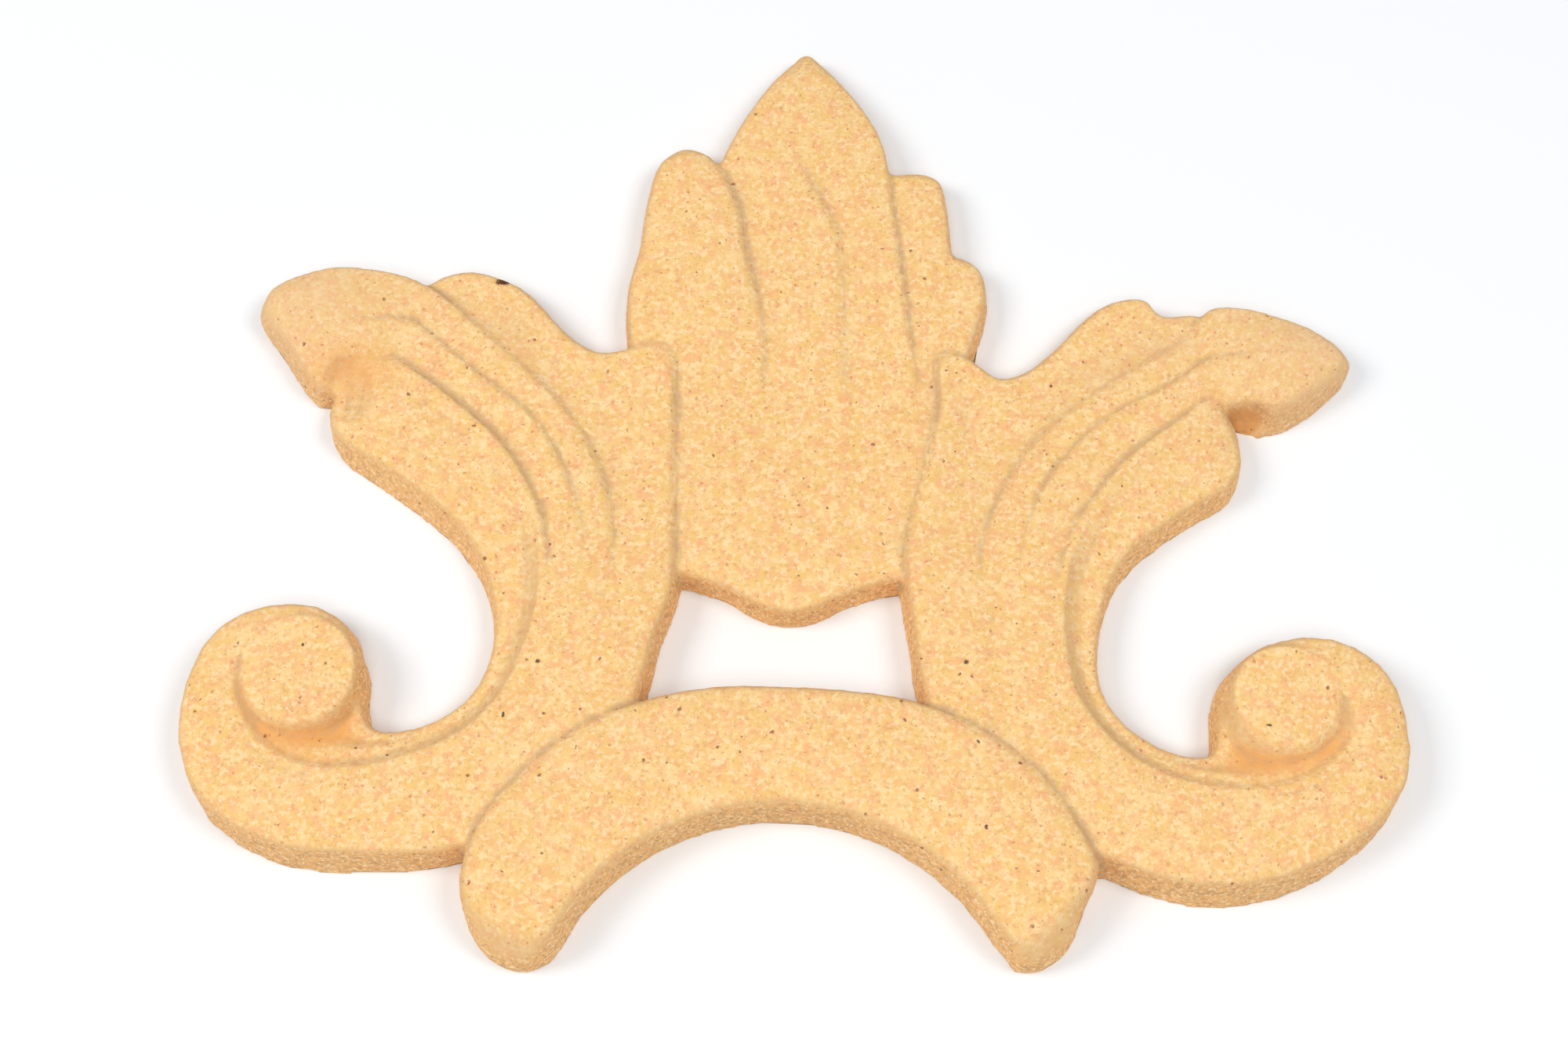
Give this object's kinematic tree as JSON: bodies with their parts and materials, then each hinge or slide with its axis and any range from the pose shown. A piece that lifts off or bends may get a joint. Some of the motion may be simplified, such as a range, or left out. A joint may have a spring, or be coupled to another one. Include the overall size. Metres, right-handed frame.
{
  "type": "wood pulp applique",
  "caption": "Flat-backed moulded furniture ornament: a palmette between two acanthus leaves whose stems roll into volutes over an arched band.",
  "frame": {"origin": "on the flat back, on the ornament's upright axis, half-way up its height", "axes": "+Z out of the carved face, +Y toward the palmette's point, +X to the right as seen from the front"},
  "size_m": [0.1313, 0.1117, 0.007],
  "materials": {
    "pressed_pulp": "matt"
  },
  "bodies": {
    "root": {"applique": "pressed_pulp"}
  },
  "joints": []
}
